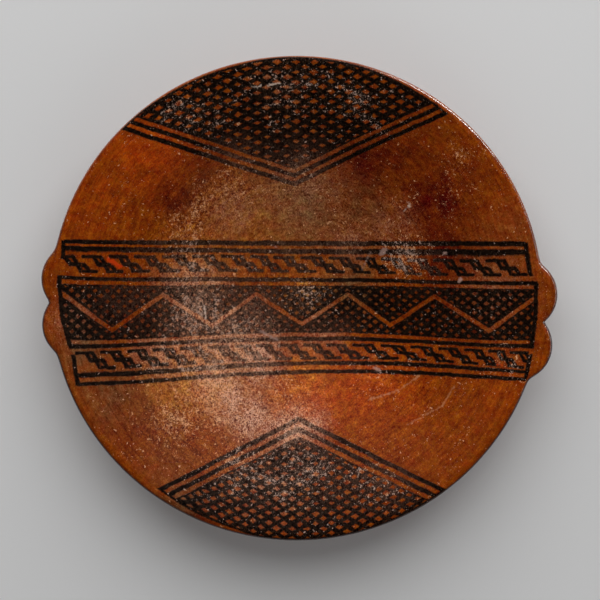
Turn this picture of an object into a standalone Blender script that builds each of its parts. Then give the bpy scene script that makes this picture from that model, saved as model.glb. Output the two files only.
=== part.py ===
"""A shallow painted pottery plate with two pairs of small nubs on its rim.

The plate is one body of fired clay. Its inside has a level middle, a curve up into a wall, and a
brim that flares out to a rounded lip. The underside follows the inside at the wall's thickness and
is rubbed flat in the middle, where the plate stands. At each end of the long axis the lip swells
out into a pair of rounded nubs. The origin is the middle of the flat foot, +Z is up out of the
plate, and +X runs along the long axis towards the larger pair of nubs.
"""

import math

import bmesh
import bpy

# The inside, as rings from the middle outwards (metres)
FLOOR_RADIUS = 0.018  # level middle
CURVE_WIDTH = 0.038  # where the floor turns up into the wall
WALL_WIDTH = 0.012  # steepest stretch
BRIM_WIDTH = 0.0415  # flaring stretch, out to the lip's outer edge
WALL_SLOPE = 0.50  # rise for each metre outwards, on the steepest stretch
BRIM_SLOPE = 0.28  # the same, at the lip

# The clay's thickness, the foot and the rim's outline (metres)
WALL_THICKNESS = 0.0068
LIP_THICKNESS = 0.0050  # the lip is rounded to half of this
FOOT_RADIUS = 0.034  # flat rubbed spot under the plate
FOOT_ROUNDING = 0.0015  # how far its worn edge is rounded, each way
LONG_AXIS_EXCESS = 0.0014  # how much further the rim reaches along X than along Y

# The nubs, in pairs at the two ends of the long axis (metres and degrees)
RIGHT_PAIR_ANGLE = -5.3  # direction of the notch between the two nubs
RIGHT_NUB_SPACING = 0.0253  # between the two tips, along the rim
RIGHT_NUB_REACH = 0.0064  # how far a tip stands out from the rim
LEFT_PAIR_ANGLE = 180.6
LEFT_NUB_SPACING = 0.0231
LEFT_NUB_REACH = 0.0043
NUB_RADIUS = 0.0172  # of a nub's rounded end, seen from above
NUB_FILLET = 0.0016  # softens the corners where a nub joins the rim and its neighbour
NUB_ROOT = 0.014  # how far in from the lip the swelling of a nub starts

# Fineness of the turned shape
STEPS_AROUND = 96
CLOSER_NEAR_NUBS = 0.6  # 0 spaces the steps evenly; towards 1 it gathers them at the nubs
FLOOR_RINGS = 2
CURVE_RINGS = 7
WALL_RINGS = 2
BRIM_RINGS = 9
LIP_FACETS = 6
FOOT_EDGE_FACETS = 2

# Fired clay, as linear colour
CLAY_COLOUR = (0.235, 0.052, 0.012, 1.0)
CLAY_ROUGHNESS = 0.45

curve_end = FLOOR_RADIUS + CURVE_WIDTH
wall_end = curve_end + WALL_WIDTH
rim_radius = wall_end + BRIM_WIDTH
lip_radius = LIP_THICKNESS / 2
lip_centre = rim_radius - lip_radius
brim_angle = math.atan(BRIM_SLOPE)


def ease(share):
    """Rise smoothly from 0 to 1."""
    share = min(max(share, 0.0), 1.0)
    return share * share * (3 - 2 * share)


def ease_total(share):
    """The area under ease from 0 to share."""
    share = min(max(share, 0.0), 1.0)
    return share**3 - share**4 / 2


def inside_slope(radius):
    """Slope of the inside at a radius."""
    wall = WALL_SLOPE * ease((radius - FLOOR_RADIUS) / CURVE_WIDTH)
    return wall + (BRIM_SLOPE - WALL_SLOPE) * ease((radius - wall_end) / (lip_centre - wall_end))


def inside_height(radius):
    """Height of the inside above its own middle at a radius."""
    brim_reach = lip_centre - wall_end
    up_the_curve = WALL_SLOPE * CURVE_WIDTH * ease_total((radius - FLOOR_RADIUS) / CURVE_WIDTH)
    past_the_curve = WALL_SLOPE * max(radius - curve_end, 0.0)
    eased_off = (BRIM_SLOPE - WALL_SLOPE) * brim_reach * ease_total((radius - wall_end) / brim_reach)
    past_the_lip = (BRIM_SLOPE - WALL_SLOPE) * max(radius - lip_centre, 0.0)
    return up_the_curve + past_the_curve + eased_off + past_the_lip


def thickness(radius):
    """Upright thickness of the clay at a radius, thinning over the brim towards the lip."""
    across_brim = min(max((radius - wall_end) / (lip_centre - wall_end), 0.0), 1.0)
    square_to_wall = WALL_THICKNESS + (LIP_THICKNESS - WALL_THICKNESS) * across_brim
    return square_to_wall * math.hypot(1.0, inside_slope(radius))


def under_height(radius):
    """Height of the underside above the middle of the inside, before its foot is rubbed flat."""
    return inside_height(radius) - thickness(radius)


def radii(start, end, count):
    """Evenly spaced radii after start, up to and with end."""
    return [start + (end - start) * step / count for step in range(1, count + 1)]


def profile():
    """The plate's cut edge as (radius, height): out over the inside, round the lip, back to the foot."""
    foot_level = under_height(FOOT_RADIUS)
    top_end = lip_centre - lip_radius * math.sin(brim_angle)
    under_start = lip_centre + lip_radius * math.sin(brim_angle)
    rings = radii(0.0, FLOOR_RADIUS, FLOOR_RINGS)
    rings += radii(FLOOR_RADIUS, curve_end, CURVE_RINGS)
    rings += radii(curve_end, wall_end, WALL_RINGS)
    rings += radii(wall_end, top_end, BRIM_RINGS)

    points = [(0.0, -foot_level)]
    for radius in rings:
        points.append((radius, inside_height(radius) - foot_level))

    middle_height = inside_height(lip_centre) - thickness(lip_centre) / 2 - foot_level
    for facet in range(1, LIP_FACETS):
        turn = brim_angle + math.pi / 2 - math.pi * facet / LIP_FACETS
        outwards = lip_centre + lip_radius * math.cos(turn)
        points.append((outwards, middle_height + lip_radius * math.sin(turn)))

    under_rings = [radius for radius in rings if radius < top_end]
    points.append((under_start, under_height(under_start) - foot_level))
    for radius in reversed(under_rings):
        # a ring too close to the foot's edge would make a sliver
        if radius > FOOT_RADIUS + CURVE_WIDTH / CURVE_RINGS / 2:
            points.append((radius, under_height(radius) - foot_level))
    points.append((FOOT_RADIUS, 0.0))
    return points


def nub_reach_at(angle):
    """How far the rim stands out at an angle because of the nubs there."""
    pairs = (
        (RIGHT_PAIR_ANGLE, RIGHT_NUB_SPACING, RIGHT_NUB_REACH),
        (LEFT_PAIR_ANGLE, LEFT_NUB_SPACING, LEFT_NUB_REACH),
    )
    standing_out = -NUB_RADIUS
    for pair_angle, spacing, reach in pairs:
        for side in (-1, 1):
            tip_angle = math.radians(pair_angle) + side * spacing / 2 / rim_radius
            along_rim = rim_radius * math.remainder(angle - tip_angle, math.tau)
            if abs(along_rim) < NUB_RADIUS:
                round_end = math.sqrt(NUB_RADIUS**2 - along_rim**2) - NUB_RADIUS + reach
                standing_out = max(standing_out, round_end)
    return (standing_out + math.hypot(standing_out, NUB_FILLET)) / 2


def shape_rim(corner):
    """Gather the steps at the nubs, push the nubs out and stretch the round rim along X."""
    radius = math.hypot(corner.co.x, corner.co.y)
    angle = math.atan2(corner.co.y, corner.co.x)
    angle -= CLOSER_NEAR_NUBS / 2 * math.sin(2 * angle)
    swelling = ease((radius - (lip_centre - NUB_ROOT)) / (NUB_ROOT - lip_radius))
    pushed_out = swelling * nub_reach_at(angle)
    radius += pushed_out
    corner.co.x = radius * math.cos(angle) * (1 + LONG_AXIS_EXCESS / rim_radius)
    corner.co.y = radius * math.sin(angle)
    corner.co.z += pushed_out * BRIM_SLOPE


def make_plate():
    """Turn the profile once round, close the foot, and shape the rim."""
    shape = bmesh.new()
    corners = [shape.verts.new((radius, 0.0, height)) for radius, height in profile()]
    edges = [shape.edges.new(pair) for pair in zip(corners, corners[1:])]
    bmesh.ops.spin(
        shape,
        geom=corners + edges,
        cent=(0.0, 0.0, 0.0),
        axis=(0.0, 0.0, 1.0),
        angle=math.tau,
        steps=STEPS_AROUND,
        use_merge=True,
    )
    bmesh.ops.remove_doubles(shape, verts=shape.verts, dist=0.00001)
    foot_edges = [edge for edge in shape.edges if edge.is_boundary]
    bmesh.ops.contextual_create(shape, geom=foot_edges)
    bmesh.ops.bevel(
        shape,
        geom=foot_edges,
        offset=FOOT_ROUNDING,
        offset_type="OFFSET",
        segments=FOOT_EDGE_FACETS,
        profile=0.5,
        affect="EDGES",
        material=-1,
    )
    for corner in shape.verts:
        shape_rim(corner)
    bmesh.ops.recalc_face_normals(shape, faces=shape.faces)

    mesh = bpy.data.meshes.new("plate")
    shape.to_mesh(mesh)
    shape.free()
    mesh.shade_smooth()
    plate = bpy.data.objects.new("plate", mesh)
    bpy.context.scene.collection.objects.link(plate)
    return plate


def fired_clay():
    """Burnished red-brown fired clay."""
    clay = bpy.data.materials.new("burnished fired clay")
    clay.use_nodes = True
    shader = clay.node_tree.nodes["Principled BSDF"]
    shader.inputs["Base Color"].default_value = CLAY_COLOUR
    shader.inputs["Roughness"].default_value = CLAY_ROUGHNESS
    shader.inputs["Metallic"].default_value = 0.0
    return clay


for old_object in list(bpy.data.objects):
    bpy.data.objects.remove(old_object)

make_plate().data.materials.append(fired_clay())
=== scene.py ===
import math

import bmesh
import bpy
import numpy
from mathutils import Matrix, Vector, noise


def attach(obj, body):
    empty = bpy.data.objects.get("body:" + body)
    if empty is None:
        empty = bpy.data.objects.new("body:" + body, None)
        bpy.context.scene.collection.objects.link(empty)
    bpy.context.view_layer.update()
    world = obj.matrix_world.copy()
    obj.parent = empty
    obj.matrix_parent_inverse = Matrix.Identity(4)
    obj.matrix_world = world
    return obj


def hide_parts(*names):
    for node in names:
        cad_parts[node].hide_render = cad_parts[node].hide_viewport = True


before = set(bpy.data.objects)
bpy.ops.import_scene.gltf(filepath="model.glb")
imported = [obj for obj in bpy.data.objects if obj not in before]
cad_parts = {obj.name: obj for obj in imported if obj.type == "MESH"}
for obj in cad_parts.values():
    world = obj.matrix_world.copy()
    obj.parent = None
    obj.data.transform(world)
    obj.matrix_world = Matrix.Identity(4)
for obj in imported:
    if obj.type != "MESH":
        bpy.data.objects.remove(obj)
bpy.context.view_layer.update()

# The camera. It looks almost straight down into the plate from a long way off, leaning a little
# back over the plate's far side, as a copy stand is set up for a shallow dish.
CAMERA_LEAN = math.radians(4.0)
CAMERA_DISTANCE = 1.300
VIEW_WIDTH = 0.26994
SENSOR_WIDTH = 36.0
AIM = Vector((0.00153, 0.0, 0.037))

lens = bpy.data.cameras.new("camera")
lens.sensor_width = SENSOR_WIDTH
lens.lens = SENSOR_WIDTH * CAMERA_DISTANCE / VIEW_WIDTH
camera = bpy.data.objects.new("camera", lens)
bpy.context.scene.collection.objects.link(camera)
bpy.context.scene.camera = camera
camera.rotation_euler = (-CAMERA_LEAN, 0.0, 0.0)
camera.location = AIM + CAMERA_DISTANCE * Vector((0.0, math.sin(CAMERA_LEAN), math.cos(CAMERA_LEAN)))
bpy.context.scene.view_settings.view_transform = "Standard"


# The floor. A smooth matt board painted pale grey, much wider than the plate, so that no edge of
# it shows and its own light comes back softly under the brim.
FLOOR_HALF_WIDTH = 1.6
PALE_GREY = "#e4e4e4"
BOARD_ROUGHNESS = 0.9


def linear(hex_colour):
    """A linear colour with alpha from an sRGB hex colour."""
    parts = [int(hex_colour[place : place + 2], 16) / 255 for place in (1, 3, 5)]
    return (*[part / 12.92 if part <= 0.04045 else ((part + 0.055) / 1.055) ** 2.4 for part in parts], 1.0)


shape = bmesh.new()
bmesh.ops.create_grid(shape, x_segments=1, y_segments=1, size=FLOOR_HALF_WIDTH)
mesh = bpy.data.meshes.new("floor")
shape.to_mesh(mesh)
shape.free()
floor = bpy.data.objects.new("floor", mesh)
bpy.context.scene.collection.objects.link(floor)

# painted board: matt and even, so the eye reads it as plain ground
board = bpy.data.materials.new("matt painted board")
board.use_nodes = True
board.node_tree.nodes["Principled BSDF"].inputs["Base Color"].default_value = linear(PALE_GREY)
board.node_tree.nodes["Principled BSDF"].inputs["Roughness"].default_value = BOARD_ROUGHNESS
mesh.materials.append(board)


# The studio light. Two wide lamps, a strong one beyond the plate and a weak one before it, both
# behind polarising filters, which keep their glare off burnished clay. Two long strips of light,
# as low as the rim, give glare alone, and draw the bright line along the lip.
LAMPS = (
    # name, direction round the plate and angle from straight up (degrees), distance, width and
    # height (m), watts, whether it lights the clay, whether it glares
    ("far lamp", 88.0, 50.0, 1.5, 2.20, 2.20, 27.0, True, False),
    ("near lamp", 285.0, 60.0, 1.5, 1.40, 1.40, 3.0, True, False),
    ("edge strip", 51.0, 87.5, 1.5, 0.90, 0.12, 38.0, False, True),
    ("side strip", 2.0, 87.5, 1.5, 1.60, 0.12, 8.0, False, True),
)
ROOM_LIGHT = 0.13

for name, direction, from_upright, distance, width, tall, watts, lights, glares in LAMPS:
    lamp = bpy.data.lights.new(name, "AREA")
    lamp.shape = "ELLIPSE"
    lamp.size = width
    lamp.size_y = tall
    lamp.energy = watts
    stand = bpy.data.objects.new(name, lamp)
    bpy.context.scene.collection.objects.link(stand)
    around, down = math.radians(direction), math.radians(from_upright)
    towards = Vector((math.cos(around) * math.sin(down), math.sin(around) * math.sin(down), math.cos(down)))
    stand.location = distance * towards
    stand.rotation_euler = towards.to_track_quat("Z", "Y").to_euler()
    stand.visible_diffuse = lights
    stand.visible_glossy = glares

# the room's own weak white light, which gives no glare either
room = bpy.data.worlds.new("room")
bpy.context.scene.world = room
room.use_nodes = True
room.node_tree.nodes["Background"].inputs["Color"].default_value = (1.0, 1.0, 1.0, 1.0)
room.node_tree.nodes["Background"].inputs["Strength"].default_value = ROOM_LIGHT
room.cycles_visibility.glossy = False


# The plate. One body of fired clay, built up by hand, scraped and turned on its foot, with a
# rounded lip and two pairs of nubs pinched out of the rim before firing. Its sizes are in
# millimetres until the mesh is made.
MM = 0.001
FLOOR_RADIUS = 18.0
CURVE_WIDTH = 38.0
WALL_WIDTH = 12.0
BRIM_WIDTH = 41.5
WALL_SLOPE = 0.50
BRIM_SLOPE = 0.28
WALL_THICKNESS = 6.8
LIP_THICKNESS = 5.0
FOOT_RADIUS = 34.0
FOOT_ROUNDING = 1.5
LONG_AXIS_EXCESS = 1.4
NUB_PAIRS = (
    # direction of the notch between the two nubs (degrees), tip to tip and reach (mm)
    (-5.3, 25.3, 6.4),
    (180.6, 23.1, 4.3),
)
NUB_RADIUS = 17.2
NUB_FILLET = 1.6
NUB_ROOT = 14.0
STEPS_AROUND = 480
RING_SPACING = 1.35
UNDER_RING_SPACING = 1.3 * RING_SPACING
LIP_FACETS = 14
FOOT_EDGE_BENDS = (0.66, 0.33, 0.0)
FOOT_EDGE_DROP = 0.6
FOOT_RINGS = (0.8, 0.6, 0.4, 0.2, 0.0)

curve_end = FLOOR_RADIUS + CURVE_WIDTH
wall_end = curve_end + WALL_WIDTH
rim_radius = wall_end + BRIM_WIDTH
lip_radius = LIP_THICKNESS / 2
lip_centre = rim_radius - lip_radius
brim_reach = lip_centre - wall_end
brim_angle = math.atan(BRIM_SLOPE)


def share(value):
    """The value, kept between 0 and 1."""
    return min(max(value, 0.0), 1.0)


def ease(value):
    """Rise smoothly from 0 to 1."""
    value = share(value)
    return value * value * (3 - 2 * value)


def ease_total(value):
    """The area under ease from 0 to value."""
    value = share(value)
    return value**3 - value**4 / 2


def inside_height(radius):
    """Height of the inside above its own middle."""
    up_the_curve = WALL_SLOPE * CURVE_WIDTH * ease_total((radius - FLOOR_RADIUS) / CURVE_WIDTH)
    past_the_curve = WALL_SLOPE * max(radius - curve_end, 0.0)
    eased_off = brim_reach * ease_total((radius - wall_end) / brim_reach) + max(radius - lip_centre, 0.0)
    return up_the_curve + past_the_curve + (BRIM_SLOPE - WALL_SLOPE) * eased_off


def thickness(radius):
    """Upright thickness of the clay, thinning over the brim towards the lip."""
    slope = WALL_SLOPE * ease((radius - FLOOR_RADIUS) / CURVE_WIDTH)
    slope += (BRIM_SLOPE - WALL_SLOPE) * ease((radius - wall_end) / brim_reach)
    across_brim = share((radius - wall_end) / brim_reach)
    return (WALL_THICKNESS + (LIP_THICKNESS - WALL_THICKNESS) * across_brim) * math.hypot(1.0, slope)


foot_level = inside_height(FOOT_RADIUS) - thickness(FOOT_RADIUS)


def profile():
    """The plate's cut edge as (radius, height): out over the inside, round the lip, back under."""
    top_end = lip_centre - lip_radius * math.sin(brim_angle)
    count = round(top_end / RING_SPACING)
    rings = [top_end * ring / count for ring in range(count + 1)]
    points = [(radius, inside_height(radius) - foot_level) for radius in rings]

    middle_height = inside_height(lip_centre) - thickness(lip_centre) / 2 - foot_level
    for facet in range(1, LIP_FACETS):
        turn = brim_angle + math.pi / 2 - math.pi * facet / LIP_FACETS
        outwards = lip_centre + lip_radius * math.cos(turn)
        points.append((outwards, middle_height + lip_radius * math.sin(turn)))

    under_start = lip_centre + lip_radius * math.sin(brim_angle)
    under_end = FOOT_RADIUS + FOOT_ROUNDING
    count = round((under_start - under_end) / UNDER_RING_SPACING)
    for ring in range(count + 1):
        radius = under_start + (under_end - under_start) * ring / count
        points.append((radius, inside_height(radius) - thickness(radius) - foot_level))
    # the foot's worn edge runs into its flat
    for bend in FOOT_EDGE_BENDS:
        radius = FOOT_RADIUS + FOOT_ROUNDING * (2 * bend - 1)
        points.append((radius, points[-1][1] * bend * FOOT_EDGE_DROP))
    for inwards in FOOT_RINGS:
        points.append((FOOT_RADIUS * inwards, 0.0))
    return points


def nub_reach_at(angle):
    """How far the rim stands out at an angle because of the nubs there."""
    standing_out = -NUB_RADIUS
    for notch, spacing, reach in NUB_PAIRS:
        for side in (-1, 1):
            tip_angle = math.radians(notch) + side * spacing / 2 / rim_radius
            along_rim = rim_radius * math.remainder(angle - tip_angle, math.tau)
            if abs(along_rim) < NUB_RADIUS:
                round_end = math.sqrt(NUB_RADIUS**2 - along_rim**2) - NUB_RADIUS + reach
                standing_out = max(standing_out, round_end)
    return (standing_out + math.hypot(standing_out, NUB_FILLET)) / 2


# the turned form, with how far each ring lies along the cut edge kept for the paint map
MERGED_WITHIN = 0.001
LIP_FOUND_WITHIN = 0.01
shape = bmesh.new()
along_edge = shape.verts.layers.float.new("along_edge")
corners = []
travelled = 0.0
for radius, height in profile():
    corner = shape.verts.new((radius, 0.0, height))
    if corners:
        travelled += (corner.co - corners[-1].co).length
    corner[along_edge] = travelled
    corners.append(corner)
edges = [shape.edges.new(pair) for pair in zip(corners, corners[1:])]
bmesh.ops.spin(
    shape,
    geom=corners + edges,
    cent=(0.0, 0.0, 0.0),
    axis=(0.0, 0.0, 1.0),
    angle=math.tau,
    steps=STEPS_AROUND,
    use_merge=True,
)
bmesh.ops.remove_doubles(shape, verts=shape.verts, dist=MERGED_WITHIN)
bmesh.ops.recalc_face_normals(shape, faces=shape.faces)
at_the_lip = [corner for corner in shape.verts if corner.co.xy.length > rim_radius - LIP_FOUND_WITHIN]
lip_along = max(corner[along_edge] for corner in at_the_lip)
whole_edge = travelled

# The marks of hand work: a shallow dimple, a gentle waviness and the nubs. The underside waves
# with the inside, and stays flat on its foot.
DIMPLE = Vector((1.5, 4.7))
DIMPLE_RADIUS = 14.0
DIMPLE_DEPTH = 0.5
SLOW_WAVE, SLOW_WAVE_LENGTH = 0.22, 26.0
QUICK_WAVE, QUICK_WAVE_LENGTH = 0.08, 9.0
QUICK_WAVE_SHIFT = Vector((7.0, 3.0, 1.0))
STILL_BESIDE_FOOT = 4.0
WAVE_FADE = 10.0
for corner in shape.verts:
    radius = corner.co.xy.length
    angle = math.atan2(corner.co.y, corner.co.x)
    on_top = corner[along_edge] < lip_along
    swelling = ease((radius - (lip_centre - NUB_ROOT)) / (NUB_ROOT - lip_radius))
    pushed_out = swelling * nub_reach_at(angle)
    radius += pushed_out
    corner.co.x = radius * math.cos(angle) * (1 + LONG_AXIS_EXCESS / rim_radius)
    corner.co.y = radius * math.sin(angle)
    corner.co.z += pushed_out * BRIM_SLOPE
    wave = SLOW_WAVE * noise.noise(corner.co / SLOW_WAVE_LENGTH)
    wave += QUICK_WAVE * noise.noise(corner.co / QUICK_WAVE_LENGTH + QUICK_WAVE_SHIFT)
    if on_top:
        dent = DIMPLE_DEPTH * ease(1 - (corner.co.xy - DIMPLE).length / DIMPLE_RADIUS)
        corner.co.z += wave - dent
    else:
        corner.co.z += wave * ease((radius - FOOT_RADIUS - STILL_BESIDE_FOOT) / WAVE_FADE)

bmesh.ops.scale(shape, vec=(MM, MM, MM), verts=shape.verts)
mesh = bpy.data.meshes.new("painted plate")
shape.to_mesh(mesh)
shape.free()
mesh.shade_smooth()
plate = bpy.data.objects.new("painted_plate", mesh)
bpy.context.scene.collection.objects.link(plate)

# The paint map. The inside is laid out flat from above on most of the square, and the underside
# smaller in the corner, each by how far a point lies along the cut edge.
INSIDE_CENTRE, INSIDE_RADIUS = (0.435, 0.435), 0.425
UNDER_CENTRE, UNDER_RADIUS = (0.865, 0.865), 0.13
places = numpy.zeros(len(mesh.vertices) * 3)
mesh.vertices.foreach_get("co", places)
places = places.reshape(-1, 3) / MM
along = numpy.zeros(len(mesh.vertices))
mesh.attributes["along_edge"].data.foreach_get("value", along)
directions = numpy.arctan2(places[:, 1], places[:, 0])
corner_of_loop = numpy.zeros(len(mesh.loops), dtype=int)
mesh.loops.foreach_get("vertex_index", corner_of_loop)
sides = numpy.zeros(len(mesh.polygons), dtype=int)
mesh.polygons.foreach_get("loop_total", sides)
first_loop = numpy.concatenate(([0], numpy.cumsum(sides)[:-1]))
middle_along = numpy.add.reduceat(along[corner_of_loop], first_loop) / sides
above = numpy.repeat(middle_along < lip_along, sides)
loop_along = along[corner_of_loop]
loop_direction = directions[corner_of_loop]
reach = numpy.where(above, loop_along / lip_along, (whole_edge - loop_along) / (whole_edge - lip_along))
radius = reach * numpy.where(above, INSIDE_RADIUS, UNDER_RADIUS)
flipped = numpy.where(above, 1.0, -1.0)
u = numpy.where(above, INSIDE_CENTRE[0], UNDER_CENTRE[0]) + flipped * radius * numpy.cos(loop_direction)
v = numpy.where(above, INSIDE_CENTRE[1], UNDER_CENTRE[1]) + radius * numpy.sin(loop_direction)
paint_map = mesh.uv_layers.new(name="OFBake")
paint_map.data.foreach_set("uv", numpy.stack((u, v), 1).ravel())

# The painter's guide lines. Each line across the band is given by its height in mm at five places
# from left to right, because brush lines drawn over the hollow bow a little.
PLACES_ACROSS = (-100.0, -50.0, 0.0, 50.0, 100.0)
BAND_GUIDES = (
    # the line's own height, then its drawn heights
    (-35.4, (-38.2, -37.1, -35.4, -34.6, -35.8)),
    (-31.6, (-34.3, -33.4, -31.6, -31.0, -32.4)),
    (-29.8, (-31.5, -30.9, -29.6, -29.0, -30.9)),
    (-22.4, (-23.6, -23.2, -22.6, -22.6, -23.4)),
    (-20.1, (-21.1, -20.9, -20.1, -20.4, -20.9)),
    (-17.0, (-17.8, -18.0, -16.9, -17.5, -18.2)),
    (4.1, (6.6, 4.7, 4.1, 4.15, 4.5)),
    (7.2, (10.0, 7.8, 7.2, 7.0, 7.3)),
    (10.6, (12.0, 11.0, 10.4, 9.8, 10.6)),
    (18.2, (19.9, 18.9, 17.9, 17.3, 18.5)),
    (20.3, (23.6, 21.5, 20.3, 20.7, 21.6)),
    (23.9, (26.0, 24.6, 23.9, 24.3, 25.3)),
)
BAND_ENDS = (
    # height, then where the band stops at the left and at the right
    (-38.5, -98.7, 103.0),
    (-24.0, -101.0, 105.4),
    (-20.5, -102.3, 106.0),
    (-8.0, -105.5, 107.5),
    (7.5, -106.9, 107.8),
    (12.0, -106.4, 104.9),
    (20.0, -104.9, 103.6),
    (26.8, -104.6, 103.0),
)
# where each hook starts, and where the one after the last would have
UPPER_HOOKS = (
    *(-110, -97, -85, -74, -61.5, -48, -35, -21.5, -11),
    *(1.5, 14.5, 27, 38.5, 50.5, 62, 73.7, 85.2, 97),
)
LOWER_HOOKS = (
    *(-100, -89, -77, -66, -53.5, -41, -28.5, -19, -9),
    *(3, 13.5, 25.5, 38.5, 52, 64.5, 76, 86.5, 96, 107),
)
# one more place for each row, so that the count runs on to the band's ends
AFTER_UPPER_HOOKS, BEFORE_LOWER_HOOKS = 109, -111
ZIGZAG_TURNS = (-105.2, -83.6, -61.0, -38.5, -18.7, 2.5, 23.6, 42.9, 63.1, 87.0, 106.8)
MIDDLE_OF_BAND = -6.0

x, y = places[:, 0], places[:, 1]
radius = numpy.hypot(x, y)
own, drawn = [], []
for height, heights in BAND_GUIDES:
    bowed = numpy.polyfit(PLACES_ACROSS, heights, len(PLACES_ACROSS) - 1)
    own.append(height)
    drawn.append(numpy.polyval(bowed, x))
across = own[0] + numpy.minimum(y - drawn[0], 0.0) + numpy.maximum(y - drawn[-1], 0.0)
for below, above_it, low, high in zip(drawn, drawn[1:], own, own[1:]):
    across += (high - low) * numpy.clip((y - below) / (above_it - below), 0.0, 1.0)
upper_count = numpy.interp(x, (*UPPER_HOOKS, AFTER_UPPER_HOOKS), range(len(UPPER_HOOKS) + 1))
lower_count = numpy.interp(x, (BEFORE_LOWER_HOOKS, *LOWER_HOOKS), range(-1, len(LOWER_HOOKS)))
count = numpy.where(across > MIDDLE_OF_BAND, upper_count, lower_count)
end_heights, left_ends, right_ends = zip(*BAND_ENDS)
beyond_left = numpy.interp(y, end_heights, left_ends) - x
beyond_right = x - numpy.interp(y, end_heights, right_ends)
beyond = numpy.maximum(beyond_left, beyond_right)
zigzag = numpy.interp(x, ZIGZAG_TURNS, range(len(ZIGZAG_TURNS)))

# The triangles' lattice columns and rows, and heights above their outer lines. A pair of values
# holds for the right half and the left half of a triangle.
TOP_APEX, BOTTOM_APEX = (-1.0, 51.3), (1.0, -56.3)
TOP_SLOPES, BOTTOM_SLOPES = (0.52, 0.338), (0.46, 0.475)
TOP_BENDS = (0.0006, 0.0)
TOP_COLUMN_WIDTHS, BOTTOM_COLUMN_WIDTH = (3.9, 4.42), 3.55
TOP_ROW_HEIGHT, BOTTOM_ROW_HEIGHT = 4.45, 4.35
TOP_ROW_BOWS, BOTTOM_ROW_BOWS = (0.0, 0.0019), (0.0018, 0.0036)
BOTTOM_LATTICE_START = (-2.0, -104.0)
# how far in the bottom triangle's lines were drawn, and how far in they count as
DRAWN_IN = (-200.0, 0.0, 4.3, 8.1, 60.0)
COUNTED_IN = (-200.0, 0.0, 4.0, 7.4, 59.3)

off_apex = numpy.abs(x - TOP_APEX[0])
at_right = x > TOP_APEX[0]
rise = numpy.where(at_right, *TOP_SLOPES) * off_apex - numpy.where(at_right, *TOP_BENDS) * off_apex**2
top_height = y - (TOP_APEX[1] + rise)
top_column = x / numpy.where(x > 0, *TOP_COLUMN_WIDTHS)
top_row = (y + numpy.where(x > 0, *TOP_ROW_BOWS) * x * x) / TOP_ROW_HEIGHT
off_apex = numpy.abs(x - BOTTOM_APEX[0])
fall = numpy.where(x > BOTTOM_APEX[0], *BOTTOM_SLOPES) * off_apex
bottom_height = numpy.interp(BOTTOM_APEX[1] - fall - y, DRAWN_IN, COUNTED_IN)
bottom_column = (x - BOTTOM_LATTICE_START[0]) / BOTTOM_COLUMN_WIDTH
bowed = y - BOTTOM_LATTICE_START[1] - numpy.where(x > 0, *BOTTOM_ROW_BOWS) * x * x
bottom_row = bowed / BOTTOM_ROW_HEIGHT
column = numpy.where(y > 0, top_column, bottom_column)
row = numpy.where(y > 0, top_row, bottom_row)
up_in = numpy.where(y > 0, top_height, bottom_height)

# where the paint stops at the lip, by direction
PAINT_STOPS = (
    # direction (degrees) and how far out the paint reaches there (mm)
    (-180.0, 110.0),
    (-125.0, 106.3),
    (-105.0, 107.6),
    (-98.0, 109.5),
    (-60.0, 109.4),
    (0.0, 110.0),
    (45.0, 107.8),
    (60.0, 107.9),
    (75.0, 108.8),
    (96.0, 109.3),
    (104.0, 108.6),
    (122.0, 109.0),
    (130.0, 110.0),
    (180.0, 110.0),
)
# no paint turns under the lip
UNDER_THE_LIP, WELL_OUTSIDE = 0.1, 5.0
outside = radius - numpy.interp(numpy.degrees(directions), *zip(*PAINT_STOPS))
outside = numpy.where(along < lip_along + UNDER_THE_LIP, outside, WELL_OUTSIDE)

# where the surface departs from plain slip: x, y, radius (mm) and strength of each place
DUSTY = (
    # fine soil, which stayed where use had rubbed the polish away
    (-30.0, 38.0, 10.0, 0.15),
    (44.0, 32.0, 9.0, 0.10),
    (-48.0, 1.0, 13.0, 0.42),
    (-66.0, -22.0, 8.0, 0.20),
    (-21.0, -8.0, 8.0, 0.20),
    (-57.0, -27.0, 11.0, 0.15),
    (-32.0, -20.0, 13.0, 0.38),
    (-12.0, -20.0, 9.0, 0.30),
    (-17.0, -31.0, 8.0, 0.60),
    (11.0, -17.0, 10.0, 0.20),
    (-37.0, -40.0, 9.0, 0.32),
    (-32.0, -46.0, 8.0, 0.32),
    (-26.0, -52.0, 8.0, 0.45),
    (-19.0, -57.0, 7.0, 0.45),
    (-8.0, -59.0, 6.0, 0.30),
    (0.0, -61.0, 8.0, 0.55),
    (0.0, 52.0, 18.0, 0.10),
    (24.0, 23.0, 7.0, 0.12),
    (9.0, -57.0, 6.0, 0.20),
    (-10.0, 96.0, 9.0, 0.10),
    (-12.0, -84.0, 14.0, 0.15),
    (-100.0, -8.0, 8.0, 0.20),
    (90.0, 2.0, 14.0, 0.10),
)
RUBBED = (
    # slip worn thin, with the paler clay showing through
    (-6.0, -42.0, 12.0, 0.10),
    (-58.0, -42.0, 14.0, 0.20),
    (-36.0, -38.0, 14.0, 0.25),
    (-20.0, 38.0, 20.0, 0.15),
    (-45.0, 20.0, 16.0, 0.10),
    (4.0, 2.0, 9.0, 0.25),
    (6.0, -34.0, 9.0, 0.30),
)
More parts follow.
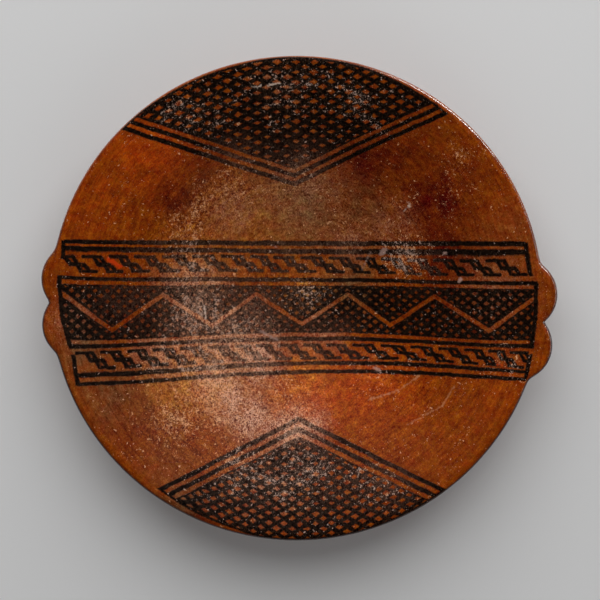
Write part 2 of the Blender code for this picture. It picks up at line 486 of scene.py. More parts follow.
DARK_CLOUDS_AND_PAINTED_SHADE = (
    # darker slip: partly fire clouding, partly painted shade, most of all on the upper wall, which turns
    # away from the far lamp
    (47.0, 68.0, 13.0, 0.35),
    (64.0, 45.0, 15.0, 0.95),
    (69.0, 22.0, 13.0, 0.70),
    (66.0, -2.0, 14.0, 0.35),
    (33.0, 60.0, 11.0, 0.80),
    (-43.0, 58.0, 12.0, 0.45),
    (-56.0, 45.0, 10.0, 0.70),
    (-70.0, -54.0, 14.0, 0.55),
    (-52.0, -55.0, 9.0, 0.25),
    (-44.0, -99.0, 10.0, 0.50),
    (-84.0, -8.0, 12.0, 0.30),
    (72.0, -20.0, 14.0, 0.25),
)
ORANGE_CLOUDS_AND_PAINTED_LIGHT = (
    # more orange slip: partly the hotter side of the fire, partly painted light on the lower wall and
    # floor, which face the far lamp
    (-66.0, 65.0, 17.0, 0.95),
    (-93.0, 42.0, 18.0, 0.35),
    (37.0, -43.0, 20.0, 0.60),
    (92.0, -42.0, 16.0, 0.25),
    (97.0, 38.0, 14.0, 0.25),
    (5.0, -42.0, 18.0, 0.95),
    (-36.0, -44.0, 15.0, 0.25),
)
FIRED_BROWN = (
    # brown clouds of smoke under the polish
    (24.0, 25.0, 16.0, 0.10),
    (30.0, 42.0, 13.0, 0.45),
    (26.0, 4.0, 12.0, 0.75),
    (2.0, 38.0, 17.0, 0.70),
    (-84.0, -42.0, 14.0, 0.60),
    (-60.0, -75.0, 12.0, 0.20),
    (-52.0, -95.0, 11.0, 0.90),
    (-98.0, -22.0, 10.0, 0.80),
    (86.0, 20.0, 14.0, 0.15),
    (100.0, 34.0, 12.0, 0.25),
)
SCRATCHED = (
    # swarms of fine scratches, whose filling of soil shows pale
    (-50.0, 33.0, 9.0, 0.80),
    (-43.0, 45.0, 8.0, 0.70),
    (-29.0, 51.0, 10.0, 0.60),
    (1.0, 52.0, 13.0, 0.40),
    (-50.0, 13.0, 11.0, 0.70),
    (-47.0, -9.0, 13.0, 0.95),
    (-46.0, -29.0, 11.0, 0.95),
    (-63.0, -32.0, 9.0, 0.50),
    (-26.0, -20.0, 14.0, 0.80),
    (-24.0, 12.0, 14.0, 0.35),
    (-48.0, 84.0, 13.0, 0.60),
    (-40.0, -48.0, 13.0, 0.75),
    (-58.0, -58.0, 14.0, 0.65),
    (-8.0, -46.0, 14.0, 0.45),
    (0.0, -60.0, 9.0, 0.65),
    (-26.0, -77.0, 15.0, 0.75),
    (4.0, -82.0, 15.0, 0.75),
    (32.0, -84.0, 12.0, 0.35),
    (50.0, 18.0, 9.0, 0.95),
    (50.0, 39.0, 8.0, 0.25),
    (23.0, 33.0, 12.0, 0.30),
    (36.0, -32.0, 9.0, 0.40),
    (94.0, -26.0, 9.0, 0.40),
    (70.0, 48.0, 9.0, 0.25),
    (75.0, 64.0, 8.0, 0.35),
    (5.0, 1.0, 10.0, 0.75),
    (-4.0, 95.0, 16.0, 0.45),
    (28.0, 90.0, 13.0, 0.45),
)
FADED = (
    # paint rubbed down to a grey film
    (1.0, 53.0, 13.0, 0.60),
    (-28.0, 61.0, 10.0, 0.40),
    (-34.0, -24.0, 20.0, 0.45),
    (-8.0, -27.0, 14.0, 0.40),
    (16.0, -23.0, 12.0, 0.25),
    (24.0, 23.0, 8.0, 0.35),
    (-50.0, 0.0, 16.0, 0.20),
    (-78.0, 0.0, 12.0, 0.15),
    (-20.0, -3.0, 12.0, 0.25),
    (-10.0, -56.0, 10.0, 0.40),
    (8.0, -58.0, 10.0, 0.50),
    (-24.0, -76.0, 20.0, 0.10),
    (14.0, -80.0, 16.0, 0.15),
    (-62.0, 20.0, 14.0, 0.20),
    (-30.0, 15.0, 16.0, 0.25),
    (0.0, 18.0, 16.0, 0.25),
    (56.0, 15.0, 9.0, 0.30),
    (40.0, -82.0, 13.0, 0.30),
)


def gathered(spots):
    """How much of the surface the spots take, from 0 to 1, fading out round each."""
    free = numpy.ones(len(x))
    for spot_x, spot_y, spot_radius, strength in spots:
        away = ((x - spot_x) ** 2 + (y - spot_y) ** 2) / spot_radius**2
        free *= 1 - strength * numpy.exp(-away)
    return numpy.where(along < lip_along, 1 - free, 0.0)


def keep_on_mesh(name, *values):
    """Store three values for each corner of the mesh, for the material to read."""
    layer = mesh.attributes.new(name, "FLOAT_VECTOR", "POINT")
    layer.data.foreach_set("vector", numpy.stack(values, 1).ravel())


nothing = numpy.zeros(len(x))
keep_on_mesh("band_guide", count, across, beyond)
keep_on_mesh("triangle_guide", column, row, up_in)
keep_on_mesh("edge_guide", zigzag, outside, along - lip_along)
# the dusty places, then the darker and the more orange places of slip, which carry painted shade and
# painted light as well as fire clouds
keep_on_mesh("dust_clouds_and_painted_light_guide", gathered(DUSTY), gathered(DARK_CLOUDS_AND_PAINTED_SHADE), gathered(ORANGE_CLOUDS_AND_PAINTED_LIGHT))
keep_on_mesh("clay_guide", gathered(FIRED_BROWN), gathered(RUBBED), gathered(FADED))
keep_on_mesh("scratch_guide", gathered(SCRATCHED), nothing, nothing)


# The surface. Burnished red slip over the whole plate, then black line painting inside, both put
# on as thin washes of coloured clay and polished with a pebble before one firing.
slipped = bpy.data.materials.new("burnished slip and black line painting")
slipped.use_nodes = True
tree = slipped.node_tree
shader = tree.nodes["Principled BSDF"]


def add(kind, *sources, **named):
    """Add a node and return its first shown output. Sources and capitalised names are inputs, a
    value or a link; the other names are the node's settings."""
    node = tree.nodes.new("ShaderNode" + kind)
    for name, value in named.items():
        if name[0].islower():
            setattr(node, name, value)
    shown = [socket for socket in node.inputs if socket.enabled]
    wanted = list(zip(shown, sources))
    wanted += [(node.inputs[name], value) for name, value in named.items() if name[0].isupper()]
    for socket, source in wanted:
        if isinstance(source, bpy.types.NodeSocket):
            tree.links.new(source, socket)
        else:
            socket.default_value = source
    return next(socket for socket in node.outputs if socket.enabled)


# Every painted shape is a distance in mm: below nothing inside the shape, above it outside.
def line_along(position, middle, width):
    """A painted line, at a height or a place that the position measures."""
    off_middle = add("Math", add("Math", position, middle, operation="SUBTRACT"), operation="ABSOLUTE")
    return add("Math", off_middle, width / 2, operation="SUBTRACT")


def short_stroke(point, start_x, start_y, end_x, end_y, width):
    """One touch of the brush from a place to a place."""
    run = Vector((end_x - start_x, end_y - start_y, 0.0))
    offset = add("VectorMath", point, (start_x, start_y, 0.0), operation="SUBTRACT")
    reached = add("VectorMath", offset, run / run.length_squared, operation="DOT_PRODUCT")
    nearest = add("VectorMath", tuple(run), operation="SCALE", Scale=add("Clamp", reached, 0.0, 1.0))
    away = add("VectorMath", offset, nearest, operation="DISTANCE")
    return add("Math", away, width / 2, operation="SUBTRACT")


def lattice_gaps(along, up, spacing, opening):
    """The bare lozenges between two sets of crossing strokes, counted in gaps along and up."""
    rising = add("Math", add("Math", along, up, operation="ADD"), 0.5, operation="PINGPONG")
    falling = add("Math", add("Math", along, up, operation="SUBTRACT"), 0.5, operation="PINGPONG")
    away = add("Math", rising, falling, operation="MAXIMUM")
    return add("Math", add("Math", away, opening, operation="SUBTRACT"), spacing, operation="MULTIPLY")


def together(first, *others):
    """Shapes painted one beside the other."""
    for other in others:
        first = add("Math", first, other, operation="MINIMUM")
    return first


def only_within(first, *others):
    """The part that lies inside every shape."""
    for other in others:
        first = add("Math", first, other, operation="MAXIMUM")
    return first


def all_but(shape):
    """Everything that the shape leaves bare."""
    return add("Math", shape, -1.0, operation="MULTIPLY")


# where a point lies, in mm, how far out and in which direction
plan = add("Mapping", add("TexCoord").node.outputs["Object"], Scale=(1 / MM, 1 / MM, 1 / MM))
plan_x = add("SeparateXYZ", plan)
flat = add("VectorMath", plan, (1.0, 1.0, 0.0), operation="MULTIPLY")
heading = add("VectorMath", flat, operation="NORMALIZE")
heading_y = add("SeparateXYZ", heading).node.outputs["Y"]
reach = add("VectorMath", plan, operation="LENGTH").node.outputs["Value"]

# the hand's wobble, slow and quick, moves every guide a little, so no line is ruled
WOBBLE_LENGTH, SHAKE_LENGTH = 9.0, 2.6
SHAKE_SHARE = 0.6
GUIDE_WOBBLE, END_WOBBLE = 0.9, 0.7
wobble = add("TexNoise", Vector=plan, Scale=1 / WOBBLE_LENGTH, Detail=1.0).node.outputs["Color"]
wobble = add("VectorMath", wobble, (0.5, 0.5, 0.5), operation="SUBTRACT")
shake = add("TexNoise", Vector=plan, Scale=1 / SHAKE_LENGTH, Detail=1.0).node.outputs["Color"]
shake = add("VectorMath", shake, (0.5, 0.5, 0.5), operation="SUBTRACT")
shake = add("VectorMath", shake, operation="SCALE", Scale=SHAKE_SHARE)
wobble_x = add("SeparateXYZ", add("VectorMath", wobble, shake, operation="ADD"))
wobble_y = wobble_x.node.outputs["Y"]

count = add("SeparateXYZ", add("Attribute", attribute_name="band_guide").node.outputs["Vector"])
across = add("Math", wobble_y, GUIDE_WOBBLE, count.node.outputs["Y"], operation="MULTIPLY_ADD")
beyond = add("Math", wobble_x, END_WOBBLE, count.node.outputs["Z"], operation="MULTIPLY_ADD")
zigzag = add("SeparateXYZ", add("Attribute", attribute_name="edge_guide").node.outputs["Vector"])
outside = zigzag.node.outputs["Y"]
from_lip = zigzag.node.outputs["Z"]

# The band: six lines, and a border at each end. Each line and gap is a height and a width. The
# border leaves two gaps at both ends, and one more at the left end.
LINES = ((-35.4, 1.9), (-31.6, 1.9), (-20.1, 2.0), (7.2, 2.1), (20.3, 2.2), (23.9, 2.4))
BORDER_WIDTH = 2.1
BORDER_REACH = (-5.7, 60.8)
BORDER_GAPS = ((9.3, 2.2), (-22.3, 2.2))
LEFT_BORDER_GAP = (12.4, 8.2)
lines = only_within(together(*[line_along(across, *line) for line in LINES]), beyond)
left_gap = only_within(line_along(across, *LEFT_BORDER_GAP), plan_x)
gaps = together(left_gap, *[line_along(across, *gap) for gap in BORDER_GAPS])
border = line_along(beyond, 0.0, BORDER_WIDTH)
border = only_within(border, line_along(across, *BORDER_REACH), all_but(gaps))

# The lattice between the middle lines, with an orange zigzag left bare through it. Its lozenges
# close up in one place and open in the next, and there are none at the edges or the zigzag.
BLOCK_MIDDLE, BLOCK_WIDTH = -6.5, 22.0
ZIGZAG_TOP, ZIGZAG_DROP, ZIGZAG_TILT = 0.4, 13.8, 0.84
ZIGZAG_WIDTH = 1.70
CLOSING_LENGTH = 5.0
SMALL_COLUMN_WIDTH, SMALL_ROW_HEIGHT = 5.2, 4.0
SMALL_SPACING, SMALL_OPENING = 3.2, 0.175
SOLID_AT_EDGES, SOLID_AT_ZIGZAG = 0.9, 0.8
block_edge = only_within(line_along(across, BLOCK_MIDDLE, BLOCK_WIDTH), beyond)
swing = add("Math", zigzag, 1.0, operation="PINGPONG")
swing = add("Math", swing, -ZIGZAG_DROP, ZIGZAG_TOP, operation="MULTIPLY_ADD")
off_zigzag = add("Math", across, swing, operation="SUBTRACT")
off_zigzag = add("Math", off_zigzag, ZIGZAG_TILT, operation="MULTIPLY")
bare_zigzag = line_along(off_zigzag, 0.0, ZIGZAG_WIDTH)
small_column = add("Math", wobble_x, GUIDE_WOBBLE, plan_x, operation="MULTIPLY_ADD")
# noise keeps mostly between 0.35 and 0.65, and here as below it is spread out from about there
closing = add("TexNoise", Vector=plan, Scale=1 / CLOSING_LENGTH, Detail=1.0)
closing = add("MapRange", closing, 0.4, 0.6, -0.045, 0.03)
small_gaps = lattice_gaps(
    add("Math", small_column, 1 / SMALL_COLUMN_WIDTH, operation="MULTIPLY"),
    add("Math", across, 1 / SMALL_ROW_HEIGHT, operation="MULTIPLY"),
    SMALL_SPACING,
    add("Math", closing, SMALL_OPENING, operation="ADD"),
)
clear_of_edges = add("Math", block_edge, SOLID_AT_EDGES, operation="ADD")
clear_of_zigzag = add("Math", SOLID_AT_ZIGZAG, bare_zigzag, operation="SUBTRACT")
small_gaps = only_within(small_gaps, clear_of_edges, clear_of_zigzag)
block = only_within(block_edge, all_but(together(bare_zigzag, small_gaps)))

# the two rows of hooks, drawn twice over because each reaches under the next
UPPER_ROW_TOP, LOWER_ROW_TOP = 18.2, -22.4
ROW_MIDDLE, ROW_HEIGHT = 4.0, 12.0
CLEAR_OF_BORDER = 0.6
HOOK_PITCH = 11.8
HOOK_STROKES = (
    # where each touch starts and ends (mm from the hook's start, and down) and its width
    (0.7, 0.5, 8.6, 0.6, 1.6),
    (5.4, 0.9, 7.2, 3.7, 1.9),
    (8.4, 0.9, 10.2, 3.8, 1.9),
    (7.2, 3.8, 13.0, 4.1, 2.0),
    (10.1, 4.2, 11.8, 6.4, 1.9),
    (13.4, 4.3, 14.8, 6.2, 1.8),
    (11.4, 6.8, 18.2, 6.9, 1.6),
)
upper_down = add("Math", UPPER_ROW_TOP, across, operation="SUBTRACT")
lower_down = add("Math", LOWER_ROW_TOP, across, operation="SUBTRACT")
in_upper = add("Math", across, MIDDLE_OF_BAND, operation="GREATER_THAN")
down = add("Mix", in_upper, lower_down, upper_down, data_type="FLOAT")
from_start = add("Math", count, operation="FRACT")
from_start = add("Math", from_start, HOOK_PITCH, wobble_x, operation="MULTIPLY_ADD")
started = add("CombineXYZ", from_start, down, 0.0)
ended = add("CombineXYZ", add("Math", from_start, HOOK_PITCH, operation="ADD"), down, 0.0)
last = add("Mix", in_upper, len(LOWER_HOOKS) - 1.0, len(UPPER_HOOKS) - 1.0, data_type="FLOAT")
past_last = add("Math", count, last, operation="SUBTRACT")
past_last = add("Math", past_last, HOOK_PITCH, operation="MULTIPLY")
before_first = add("Math", 1.0, count, operation="SUBTRACT")
before_first = add("Math", before_first, HOOK_PITCH, operation="MULTIPLY")
starts = only_within(together(*[short_stroke(started, *touch) for touch in HOOK_STROKES]), past_last)
ends = only_within(together(*[short_stroke(ended, *touch) for touch in HOOK_STROKES]), before_first)
in_rows = line_along(down, ROW_MIDDLE, ROW_HEIGHT)
hooks = only_within(together(starts, ends), in_rows, add("Math", beyond, CLEAR_OF_BORDER, operation="ADD"))

# The two triangles: two lines outside, a lattice inside, and a line along the rim. The lozenges
# open wider towards the rim.
COLUMN_WOBBLE, ROW_WOBBLE = 0.20, 0.22
TRIANGLE_LINES = ((0.0, 2.3), (4.0, 2.2))
LATTICE_START = 6.8
LATTICE_SPACING = 4.0
SOLID_ROUND_LATTICE = 1.0
OPENING_REACHES, OPENINGS = (52.0, 104.0), (0.150, 0.235)
RIM_LINE = (-0.4, 1.6)
RIM_LINE_START = -1.1
column = add("SeparateXYZ", add("Attribute", attribute_name="triangle_guide").node.outputs["Vector"])
row = column.node.outputs["Y"]
up_in = column.node.outputs["Z"]
column = add("Math", wobble_x, COLUMN_WOBBLE, column, operation="MULTIPLY_ADD")
row = add("Math", wobble_y, ROW_WOBBLE, row, operation="MULTIPLY_ADD")
up_in = add("Math", wobble_x, GUIDE_WOBBLE, up_in, operation="MULTIPLY_ADD")
half_column = add("Math", column, 0.5, operation="MULTIPLY")
opening = add("MapRange", reach, *OPENING_REACHES, *OPENINGS)
opening = add("Math", opening, closing, operation="ADD")
open_gaps = lattice_gaps(half_column, row, LATTICE_SPACING, opening)
past_lines = add("Math", LATTICE_START, up_in, operation="SUBTRACT")
for edge in (past_lines, outside):
    open_gaps = only_within(open_gaps, add("Math", edge, SOLID_ROUND_LATTICE, operation="ADD"))
net = only_within(past_lines, all_but(open_gaps))
triangle_lines = together(*[line_along(up_in, *line) for line in TRIANGLE_LINES])
past_outer_line = add("Math", RIM_LINE_START, up_in, operation="SUBTRACT")
rim_line = only_within(line_along(outside, *RIM_LINE), past_outer_line)
triangles = together(net, triangle_lines, rim_line)

painted = only_within(together(lines, border, block, hooks, triangles), outside)

# the places where the slip isn't plain, each with a broken edge
BROKEN_LENGTH, DAPPLED_LENGTH = 8.0, 10.0
dusty = add("SeparateXYZ", add("Attribute", attribute_name="dust_clouds_and_painted_light_guide").node.outputs["Vector"])
dark = dusty.node.outputs["Y"]
orange = dusty.node.outputs["Z"]
brown = add("SeparateXYZ", add("Attribute", attribute_name="clay_guide").node.outputs["Vector"])
rubbed = brown.node.outputs["Y"]
faded = brown.node.outputs["Z"]
many_scratches = add("SeparateXYZ", add("Attribute", attribute_name="scratch_guide").node.outputs["Vector"])
broken = add("TexNoise", Vector=plan, Scale=1 / BROKEN_LENGTH, Detail=6.0, Roughness=0.7)
broken = add("MapRange", broken, 0.36, 0.64, 0.4, 1.6)
dusty = add("Clamp", add("Math", dusty, broken, operation="MULTIPLY"), 0.0, 1.0)
# a pattern that is read elsewhere doesn't follow the others
elsewhere = add("Mapping", plan, Location=(40.0, 11.0, 5.0))
dappled = add("TexNoise", Vector=elsewhere, Scale=1 / DAPPLED_LENGTH, Detail=6.0, Roughness=0.68)
dappled = add("MapRange", dappled, 0.36, 0.64, 0.55, 1.45)
faded = add("Clamp", add("Math", faded, dappled, operation="MULTIPLY"), 0.0, 1.0)

# slip: iron red, clouded by the fire and rubbed thin by use, its darker clouds partly painted shade and its
# orange ones partly painted light
SLIP_RED = "#823501"
SLIP_ORANGE = "#a93e01"
SLIP_BROWN = "#6e4527"
SLIP_DARK = "#500201"
THIN_SLIP = "#dc8a2c"
colour = linear(SLIP_RED)
clouds = ((orange, SLIP_ORANGE), (brown, SLIP_BROWN), (dark, SLIP_DARK), (rubbed, THIN_SLIP))
for strength, cloud_colour in clouds:
    here = add("Clamp", add("Math", strength, dappled, operation="MULTIPLY"), 0.0, 1.0)
    colour = add("Mix", here, colour, linear(cloud_colour), data_type="RGBA")

# The brush and the polishing pebble left it mottled and faintly streaked round the plate. A streak
# is about a seventh of a radian long.
MOTTLE_LENGTH = 4.5
STREAK_WIDTH, STREAKS_IN_A_RADIAN = 1.1, (7.0, 7.0, 0.0)
mottle = add("TexNoise", Vector=plan, Scale=1 / MOTTLE_LENGTH, Detail=6.0, Roughness=0.7)
mottle = add("MapRange", mottle, 0.34, 0.66, 0.70, 1.30)
out_from_middle = add("CombineXYZ", 0.0, 0.0, add("Math", reach, 1 / STREAK_WIDTH, operation="MULTIPLY"))
round_the_plate = add("VectorMath", heading, STREAKS_IN_A_RADIAN, out_from_middle, operation="MULTIPLY_ADD")
streaks = add("TexNoise", Vector=round_the_plate, Scale=1.0, Detail=3.0)
streaks = add("MapRange", streaks, 0.3, 0.7, 0.78, 1.22)
shade = add("Math", mottle, streaks, operation="MULTIPLY")

# A fine grain of crossing scratches, stronger where the slip is rubbed. The real scratches are
# about 0.1 mm wide and lie 0.3 mm apart, and are drawn coarser to show.
SCRATCH_SPACING, SCRATCH_LENGTH = 0.48, 1.5
SCRATCH_TURNS = (0.5, -0.6, 1.6)
SHIFT_WITH_TURN = 20.0
HAIRLINE_SCALE = 0.45
crossing = []
hairlines = []
for turn in SCRATCH_TURNS:
    slanting = add(
        "Mapping",
        plan,
        vector_type="TEXTURE",
        Location=(SHIFT_WITH_TURN * turn, 0.0, 0.0),
        Rotation=(0.0, 0.0, turn),
        Scale=(SCRATCH_SPACING, SCRATCH_LENGTH, SCRATCH_LENGTH),
    )
    crossing.append(add("TexNoise", Vector=slanting, Scale=1.0, Detail=2.0, Roughness=0.6))
    hairline = add("TexNoise", Vector=slanting, Scale=HAIRLINE_SCALE, Detail=1.0)
    hairlines.append(add("Math", add("Math", hairline, 0.5, operation="SUBTRACT"), operation="ABSOLUTE"))
scratched = only_within(*crossing)
hairlines = add("MapRange", together(*hairlines), 0.045, 0.0, -0.45, 1.5)
grain = add("MapRange", add("Math", crossing[0], crossing[1], operation="ADD"), 0.84, 1.16, -0.7, 0.7)
grain = add("Math", grain, hairlines, operation="ADD")
wear = add("Math", add("Math", dusty, rubbed, operation="ADD"), 1.1, operation="MULTIPLY")
scratched_wear = add("Math", many_scratches, 0.35, 0.15, operation="MULTIPLY_ADD")
wear = add("Clamp", add("Math", wear, scratched_wear, operation="ADD"), 0.0, 1.0)
hollow = add("MapRange", reach, 62.0, 108.0, 0.24, 0.12)
dug = add("Math", many_scratches, 0.35, hollow, operation="MULTIPLY_ADD")
dug = add("Math", grain, dug, 1.0, operation="MULTIPLY_ADD")
shade = add("Math", shade, dug, operation="MULTIPLY")
# where the slip is paler it is also less red
less_red = add("Math", shade, 1.5, operation="POWER")
pale = add("Math", shade, 2.0, operation="POWER")
colour = add("VectorMath", colour, add("CombineXYZ", shade, less_red, pale), operation="MULTIPLY")

# the slip itself is redder in one place and more ochre in the next
TINGE_LENGTH = 4.0
TINGE = (0.0, 0.28, 0.3)
elsewhere = add("Mapping", plan, Location=(61.0, 33.0, 12.0))
tinge = add("TexNoise", Vector=elsewhere, Scale=1 / TINGE_LENGTH, Detail=5.0, Roughness=0.75)
tinge = add("MapRange", tinge, 0.35, 0.65, -1.0, 1.0)
tinge = add("CombineXYZ", tinge, tinge, tinge)
tinge = add("VectorMath", tinge, TINGE, (1.0, 1.0, 1.0), operation="MULTIPLY_ADD")
colour = add("VectorMath", colour, tinge, operation="MULTIPLY")

# fine soil fills the grain of the rubbed places, as a speckled haze that the grain breaks up
DUST = "#e2ac8e"
SPECKLE_LENGTH = 0.7
filled = add("MapRange", grain, -0.8, 1.1, 0.08, 1.55)
speckled = add("TexNoise", Vector=plan, Scale=1 / SPECKLE_LENGTH, Detail=2.0, Roughness=0.7)
speckled = add("MapRange", speckled, 0.38, 0.62, 0.25, 1.75)
filled = add("Math", filled, speckled, operation="MULTIPLY")
haze = add("Math", dusty, filled, operation="MULTIPLY")
colour = add("Mix", haze, colour, linear(DUST), data_type="RGBA")

# brush edges are soft and a little ragged, and worn paint is thin and full of holes
BLACK_PAINT = "#120906"
GREY_DUST = "#8a6c5c"
RAGGED_LENGTH, HOLE_LENGTH = 1.3, 1.4
EDGE_SOFTNESS, WASH_SOFTNESS = 0.30, 0.2
WASH_STRENGTH = 0.45
FILM_STRENGTH = 0.38
ragged = add("TexNoise", Vector=plan, Scale=1 / RAGGED_LENGTH, Detail=3.0)
ragged = add("Math", ragged, 0.5, operation="SUBTRACT")
painted = add("Math", ragged, 0.8, painted, operation="MULTIPLY_ADD")
painted = add("MapRange", painted, EDGE_SOFTNESS, -EDGE_SOFTNESS, 0.0, 1.0)
# a thin wash lies over the whole block, apart from its zigzag
washed_over = only_within(block_edge, all_but(bare_zigzag), outside)
washed_over = add("MapRange", washed_over, WASH_SOFTNESS, -WASH_SOFTNESS, 0.0, WASH_STRENGTH)
painted = add("Math", painted, washed_over, operation="MAXIMUM")
elsewhere = add("Mapping", plan, Location=(22.0, 9.0, 31.0))
worn = add("TexNoise", Vector=elsewhere, Scale=1 / HOLE_LENGTH, Detail=5.0, Roughness=0.75)
worn = add("Math", wear, 0.22, worn, operation="MULTIPLY_ADD")
worn = add("Math", many_scratches, 0.05, worn, operation="MULTIPLY_ADD")
worn = add("MapRange", worn, 0.68, 0.84, 1.0, 0.70)
painted = add("Math", painted, worn, operation="MULTIPLY")
left_of_it = add("Math", faded, -0.35, 1.0, operation="MULTIPLY_ADD")
painted = add("Math", painted, left_of_it, operation="MULTIPLY")
film = add("Math", faded, filled, operation="MULTIPLY")
film = add("Math", film, FILM_STRENGTH, operation="MULTIPLY")
paint_colour = add("Mix", film, linear(BLACK_PAINT), linear(GREY_DUST), data_type="RGBA")
colour = add("Mix", painted, colour, paint_colour, data_type="RGBA")

# the scratches carry a grey bloom of soil over slip and paint alike, as linear light added to
# their colour, which never falls below the darkest clay
BLOOM = (0.040, 0.022, 0.010)
DARKEST = (0.002, 0.001, 0.0008)
bloom = add("Math", grain, add("Math", wear, 0.9, 0.05, operation="MULTIPLY_ADD"), operation="MULTIPLY")
bloom = add("CombineXYZ", bloom, bloom, bloom)
colour = add("VectorMath", bloom, BLOOM, colour, operation="MULTIPLY_ADD")
colour = add("VectorMath", colour, DARKEST, operation="MAXIMUM")

# Pale flecks: scratches filled with burial crust, in swarms that lie round the plate, thick over
# the worn places and few elsewhere. Most are short and straight, and between them run fine curled
# ones, which break off after a few millimetres.
CRUST_ON_SLIP = "#eeae7e"
CRUST_ON_PAINT = "#c9a898"
SWARM_WIDTH, SWARMS_IN_A_RADIAN = 5.0, (5.0, 5.0, 0.0)
CURL_LENGTH, BREAK_LENGTH = 2.6, 1.5
arcs = add("CombineXYZ", 0.0, 0.0, add("Math", reach, 1 / SWARM_WIDTH, operation="MULTIPLY"))
arcs = add("VectorMath", heading, SWARMS_IN_A_RADIAN, arcs, operation="MULTIPLY_ADD")
swarms = add("TexNoise", Vector=arcs, Scale=1.0, Detail=4.0, Roughness=0.7)
here = add("MapRange", swarms, 0.34, 0.62, 0.50, 1.15)
here = add("Math", many_scratches, here, operation="MULTIPLY")
anywhere = add("MapRange", swarms, 0.52, 0.70, 0.0, 0.45)
crowd = add("Clamp", add("Math", anywhere, here, operation="ADD"), 0.0, 1.0)
flecks = add("Math", crowd, 0.16, scratched, operation="MULTIPLY_ADD")
flecks = add("MapRange", flecks, 0.72, 0.84, 0.0, 0.90)
hairs = []
for away in (5.0, 45.0):
    elsewhere = add("Mapping", plan, Location=(away, away, 50.0))
    curled = add("TexNoise", Vector=elsewhere, Scale=1 / CURL_LENGTH, Detail=2.0)
    hairs.append(add("Math", add("Math", curled, 0.5, operation="SUBTRACT"), operation="ABSOLUTE"))
hairs = add("MapRange", together(*hairs), 0.034, 0.010, 0.0, 0.85)
elsewhere = add("Mapping", plan, Location=(90.0, 15.0, 50.0))
unbroken = add("TexNoise", Vector=elsewhere, Scale=1 / BREAK_LENGTH, Detail=2.0)
unbroken = add("Math", crowd, 0.22, unbroken, operation="MULTIPLY_ADD")
unbroken = add("MapRange", unbroken, 0.68, 0.74, 0.0, 1.0)
hairs = add("Math", hairs, unbroken, operation="MULTIPLY")
flecks = add("Math", flecks, hairs, operation="MAXIMUM")
crust = add("Mix", painted, linear(CRUST_ON_SLIP), linear(CRUST_ON_PAINT), data_type="RGBA")
colour = add("Mix", flecks, colour, crust, data_type="RGBA")

# single marks: chips and scratches that show the pale body, and two touches of another slip, all
# with ragged edges
MARK_RAGGEDNESS = 2.6
MARKS = (
    # the mark's colour and strength, then where it starts and ends and its width (mm)
    ("#c09a8c", 0.55, (39.0, 19.8, 40.3, 20.8, 2.2)),
    ("#c09a8c", 0.60, (67.0, 20.0, 68.0, 20.7, 0.8)),
    ("#c09a8c", 0.70, (74.0, 7.2, 74.5, 8.8, 0.8)),
    ("#c09a8c", 0.50, (-9.6, 22.3, -8.4, 21.9, 0.6)),
    ("#c09a8c", 0.50, (36.0, -33.0, 37.5, -34.0, 1.4)),
    ("#c09a8c", 0.25, (30.0, 12.0, 34.0, 20.0, 0.5)),
    ("#e3c9b6", 0.75, (-20.0, 95.6, -16.0, 95.9, 0.4)),
    ("#e3c9b6", 0.75, (-13.0, 96.2, -7.5, 97.4, 0.4)),
    ("#e3c9b6", 0.85, (-42.5, -4.6, -41.6, -10.2, 0.4)),
    ("#e3c9b6", 0.60, (49.0, 39.6, 51.5, 42.2, 0.3)),
    ("#e3c9b6", 0.60, (50.6, 43.2, 51.2, 41.4, 0.3)),
    ("#b9998e", 0.45, (-17.0, -16.4, -9.0, -20.6, 0.8)),
    ("#d89a6a", 0.45, (33.0, -47.3, 46.5, -42.8, 0.4)),
    ("#d89a6a", 0.45, (46.5, -42.8, 55.5, -36.0, 0.4)),
    ("#d89a6a", 0.30, (50.0, -58.0, 66.0, -49.0, 0.4)),
    ("#d89a6a", 0.30, (66.0, -49.0, 71.5, -40.0, 0.4)),
    ("#cc3a0c", 0.85, (-85.0, 17.8, -80.0, 14.6, 1.7)),
    ("#c4440a", 0.65, (91.0, -29.5, 92.4, -29.5, 1.2)),
)
for mark_colour, strength, touch in MARKS:
    mark = add("Math", ragged, MARK_RAGGEDNESS, short_stroke(flat, *touch), operation="MULTIPLY_ADD")
    mark = add("MapRange", only_within(mark, from_lip), 0.45, -0.35, 0.0, strength)
    colour = add("Mix", mark, colour, linear(mark_colour), data_type="RGBA")

# The lip's outer turn, darkened with painted shade, most of all on the near side, away from the far lamp.
# Each place is how far it lies past the lip's edge (mm), on the way out, round and under.
LIP_PAINTED_SHADE = "#2e1208"
DARK_FROM, FULLY_DARK_FROM = -2.5, -1.6
FADING_FROM, FADED_OUT_AT = 2.0, 10.0
near_side = add("MapRange", heading_y, -0.2, 0.5, 0.9, 0.35)
lip_shade = add("MapRange", from_lip, DARK_FROM, FULLY_DARK_FROM, 0.0, near_side)
fading = add("MapRange", from_lip, FADING_FROM, FADED_OUT_AT, 1.0, 0.0)
lip_shade = add("Math", lip_shade, fading, operation="MULTIPLY")
colour = add("Mix", lip_shade, colour, linear(LIP_PAINTED_SHADE), data_type="RGBA")

# on the far side, which faces the far lamp, its edge has a painted highlight instead, a thin pale line
LIP_HIGHLIGHT = "#c8784e"
LIP_HIGHLIGHT_WIDTH, LIP_HIGHLIGHT_SOFTNESS = 2.6, 0.4
lit_far_side = add("MapRange", heading_y, -0.1, 0.4, 0.0, 0.5)
edge = line_along(from_lip, 0.0, LIP_HIGHLIGHT_WIDTH)
edge = add("MapRange", edge, LIP_HIGHLIGHT_SOFTNESS, -LIP_HIGHLIGHT_SOFTNESS, 0.0, lit_far_side)
colour = add("Mix", edge, colour, linear(LIP_HIGHLIGHT), data_type="RGBA")

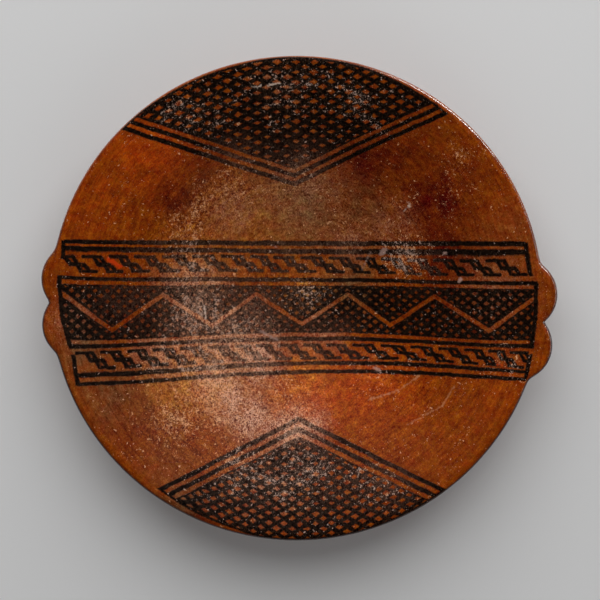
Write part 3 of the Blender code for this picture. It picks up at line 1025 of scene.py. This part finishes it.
# under the plate, the foot is rubbed through to the clay by what it stands on
FOOT_CLAY = "#a8683c"
RUBBED_BEFORE_FOOT, RUBBED_INTO_FOOT = 3.0, 1.0
FOOT_RUBBING = 0.6
foot_edge = whole_edge - lip_along - FOOT_RADIUS
rubbed_from, rubbed_to = foot_edge - RUBBED_BEFORE_FOOT, foot_edge + RUBBED_INTO_FOOT
footing = add("MapRange", from_lip, rubbed_from, rubbed_to, 0.0, FOOT_RUBBING)
footing = add("Math", footing, dappled, operation="MULTIPLY")
colour = add("Mix", footing, colour, linear(FOOT_CLAY), data_type="RGBA")
tree.links.new(colour, shader.inputs["Base Color"])

# Burnished slip has a soft gloss, which wear takes away, and the paint a duller one. The lip is
# polished most, and the scratches and flecks of the worn places stand a little off the surface.
SLIP_ROUGHNESS, WORN_ROUGHNESS = 0.26, 0.45
PAINT_ROUGHNESS = 0.32
LIP_ROUGHNESS = 0.2
POLISHED_FROM, FULLY_POLISHED_FROM = -7.0, -4.5
FLECK_HEIGHT = 1.5
GRAIN_STRENGTH, GRAIN_DEPTH = 0.3, 0.15
SLIP_IOR, SLIP_SPECULAR = 1.5, 0.25
gloss = add("MapRange", wear, 0.15, 1.0, SLIP_ROUGHNESS, WORN_ROUGHNESS)
gloss = add("Mix", painted, gloss, PAINT_ROUGHNESS, data_type="FLOAT")
polished_lip = add("MapRange", from_lip, POLISHED_FROM, FULLY_POLISHED_FROM, 0.0, 1.0)
gloss = add("Mix", polished_lip, gloss, LIP_ROUGHNESS, data_type="FLOAT")
tree.links.new(gloss, shader.inputs["Roughness"])
height = add("Math", flecks, FLECK_HEIGHT, grain, operation="MULTIPLY_ADD")
height = add("Math", height, wear, operation="MULTIPLY")
bump = add("Bump", Height=height, Strength=GRAIN_STRENGTH, Distance=GRAIN_DEPTH * MM)
tree.links.new(bump, shader.inputs["Normal"])
shader.inputs["IOR"].default_value = SLIP_IOR
shader.inputs["Specular IOR Level"].default_value = SLIP_SPECULAR
mesh.materials.append(slipped)

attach(plate, "root")
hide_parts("plate")
